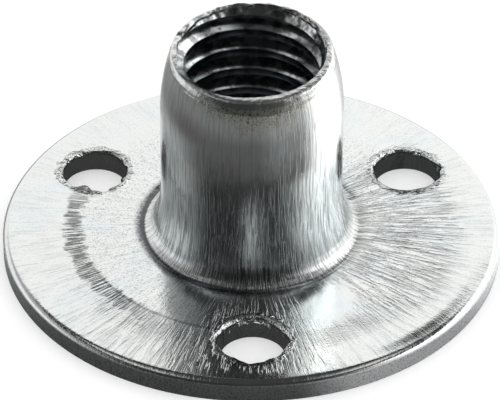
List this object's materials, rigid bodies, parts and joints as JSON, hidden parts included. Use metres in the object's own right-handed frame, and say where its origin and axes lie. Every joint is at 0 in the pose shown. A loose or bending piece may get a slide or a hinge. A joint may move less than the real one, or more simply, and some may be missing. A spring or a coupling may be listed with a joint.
{
  "type": "tee nut",
  "caption": "Screw-on tee nut drawn from zinc-plated sheet steel: a round flange with screw holes and a threaded barrel standing up from its middle.",
  "frame": {"origin": "middle of the flange's back face, on the barrel's axis", "axes": "+Z along the barrel, from the flange to the mouth; -Y through the first screw hole"},
  "size_m": [0.032, 0.032, 0.0154],
  "materials": {
    "zinc_steel": "bright zinc plating over drawn sheet steel, with radial and upright draw marks"
  },
  "bodies": {
    "root": {"tee_nut": "zinc_steel"}
  },
  "joints": []
}
